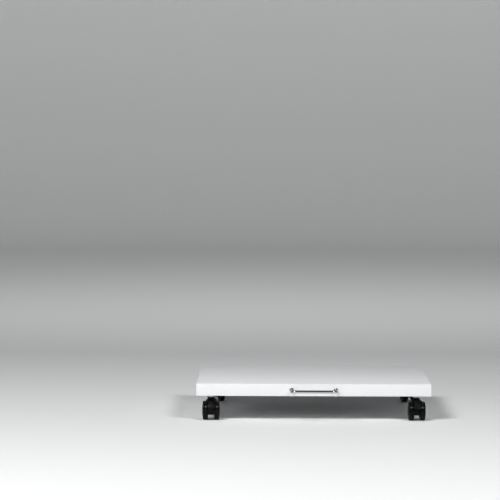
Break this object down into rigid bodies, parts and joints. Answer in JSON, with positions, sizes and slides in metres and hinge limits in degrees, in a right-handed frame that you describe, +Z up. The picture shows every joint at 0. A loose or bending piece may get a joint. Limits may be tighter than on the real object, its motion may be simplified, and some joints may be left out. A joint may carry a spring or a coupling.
{
  "type": "mobile printer stand",
  "caption": "Low rectangular white board on twin-wheel swivel casters with a U-shaped chrome wire pull, for rolling a desktop printer in and out under a desk.",
  "frame": {"origin": "on the floor, under the middle of the whole outline, handle included", "axes": "+Z up from the floor, -Y towards the front where the wire pull is, +X to the right seen from the front"},
  "size_m": [0.48, 0.438, 0.075],
  "materials": {
    "white_board": "satin white melamine on particle board",
    "white_edging": "satin white plastic edge band",
    "chrome": "bright chrome plate on steel wire",
    "zinc_steel": "bright zinc plate",
    "fork_nylon": "black moulded nylon, satin",
    "wheel_nylon": "black moulded nylon, semi-gloss",
    "cap_nylon": "black moulded cap, semi-gloss"
  },
  "bodies": {
    "board": {"board_core": "white_board", "edge_band_front": "white_edging", "edge_band_rear": "white_edging", "edge_band_left": "white_edging", "edge_band_right": "white_edging", "handle": "chrome", "handle_collars": "chrome", "handle_screws": "zinc_steel", "stem_inserts": "zinc_steel", "front_left_stem": "zinc_steel", "front_left_swivel_washer": "zinc_steel", "front_left_stem_ring": "zinc_steel", "front_right_stem": "zinc_steel", "front_right_swivel_washer": "zinc_steel", "front_right_stem_ring": "zinc_steel", "rear_left_stem": "zinc_steel", "rear_left_swivel_washer": "zinc_steel", "rear_left_stem_ring": "zinc_steel", "rear_right_stem": "zinc_steel", "rear_right_swivel_washer": "zinc_steel", "rear_right_stem_ring": "zinc_steel"},
    "front_left_caster": {"front_left_fork": "fork_nylon", "front_left_axle": "zinc_steel", "front_left_axle_clips": "zinc_steel", "front_left_brake_pin": "zinc_steel"},
    "front_left_wheel_left": {"front_left_wheel_left": "wheel_nylon", "front_left_cap_left": "cap_nylon"},
    "front_left_wheel_right": {"front_left_wheel_right": "wheel_nylon", "front_left_cap_right": "cap_nylon"},
    "front_left_brake": {"front_left_brake_pedal": "fork_nylon", "front_left_brake_bar": "zinc_steel"},
    "front_right_caster": {"front_right_fork": "fork_nylon", "front_right_axle": "zinc_steel", "front_right_axle_clips": "zinc_steel", "front_right_brake_pin": "zinc_steel"},
    "front_right_wheel_left": {"front_right_wheel_left": "wheel_nylon", "front_right_cap_left": "cap_nylon"},
    "front_right_wheel_right": {"front_right_wheel_right": "wheel_nylon", "front_right_cap_right": "cap_nylon"},
    "front_right_brake": {"front_right_brake_pedal": "fork_nylon", "front_right_brake_bar": "zinc_steel"},
    "rear_left_caster": {"rear_left_fork": "fork_nylon", "rear_left_axle": "zinc_steel", "rear_left_axle_clips": "zinc_steel"},
    "rear_left_wheel_left": {"rear_left_wheel_left": "wheel_nylon", "rear_left_cap_left": "cap_nylon"},
    "rear_left_wheel_right": {"rear_left_wheel_right": "wheel_nylon", "rear_left_cap_right": "cap_nylon"},
    "rear_right_caster": {"rear_right_fork": "fork_nylon", "rear_right_axle": "zinc_steel", "rear_right_axle_clips": "zinc_steel"},
    "rear_right_wheel_left": {"rear_right_wheel_left": "wheel_nylon", "rear_right_cap_left": "cap_nylon"},
    "rear_right_wheel_right": {"rear_right_wheel_right": "wheel_nylon", "rear_right_cap_right": "cap_nylon"}
  },
  "joints": [
    {"name": "front_left_swivel", "type": "hinge", "parent": "board", "child": "front_left_caster", "pos_m": [-0.21, -0.151, 0.04], "axis": [0, 0, 1], "continuous": true},
    {"name": "front_left_wheel_left_spin", "type": "hinge", "parent": "front_left_caster", "child": "front_left_wheel_left", "pos_m": [-0.2216, -0.166, 0.019], "axis": [1, 0, 0], "continuous": true},
    {"name": "front_left_wheel_right_spin", "type": "hinge", "parent": "front_left_caster", "child": "front_left_wheel_right", "pos_m": [-0.1984, -0.166, 0.019], "axis": [1, 0, 0], "continuous": true},
    {"name": "front_left_brake_press", "type": "hinge", "parent": "front_left_caster", "child": "front_left_brake", "pos_m": [-0.21, -0.1625, 0.0352], "axis": [1, 0, 0], "range_deg": [-16, 0]},
    {"name": "front_right_swivel", "type": "hinge", "parent": "board", "child": "front_right_caster", "pos_m": [0.21, -0.151, 0.04], "axis": [0, 0, 1], "continuous": true},
    {"name": "front_right_wheel_left_spin", "type": "hinge", "parent": "front_right_caster", "child": "front_right_wheel_left", "pos_m": [0.1992, -0.16659, 0.019], "axis": [0.9986, 0.0523, 0], "continuous": true},
    {"name": "front_right_wheel_right_spin", "type": "hinge", "parent": "front_right_caster", "child": "front_right_wheel_right", "pos_m": [0.22237, -0.16537, 0.019], "axis": [0.9986, 0.0523, 0], "continuous": true},
    {"name": "front_right_brake_press", "type": "hinge", "parent": "front_right_caster", "child": "front_right_brake", "pos_m": [0.2106, -0.16248, 0.0352], "axis": [0.9986, 0.0523, 0], "range_deg": [0, 16]},
    {"name": "rear_left_swivel", "type": "hinge", "parent": "board", "child": "rear_left_caster", "pos_m": [-0.21, 0.189, 0.04], "axis": [0, 0, 1], "continuous": true},
    {"name": "rear_left_wheel_left_spin", "type": "hinge", "parent": "rear_left_caster", "child": "rear_left_wheel_left", "pos_m": [-0.21823, 0.17192, 0.019], "axis": [0.9781, 0.2079, 0], "continuous": true},
    {"name": "rear_left_wheel_right_spin", "type": "hinge", "parent": "rear_left_caster", "child": "rear_left_wheel_right", "pos_m": [-0.19553, 0.17674, 0.019], "axis": [0.9781, 0.2079, 0], "continuous": true},
    {"name": "rear_right_swivel", "type": "hinge", "parent": "board", "child": "rear_right_caster", "pos_m": [0.21, 0.189, 0.04], "axis": [0, 0, 1], "continuous": true},
    {"name": "rear_right_wheel_left_spin", "type": "hinge", "parent": "rear_right_caster", "child": "rear_right_wheel_left", "pos_m": [0.20207, 0.17178, 0.019], "axis": [0.9744, 0.225, 0], "continuous": true},
    {"name": "rear_right_wheel_right_spin", "type": "hinge", "parent": "rear_right_caster", "child": "rear_right_wheel_right", "pos_m": [0.22468, 0.17699, 0.019], "axis": [0.9744, 0.225, 0], "continuous": true}
  ]
}
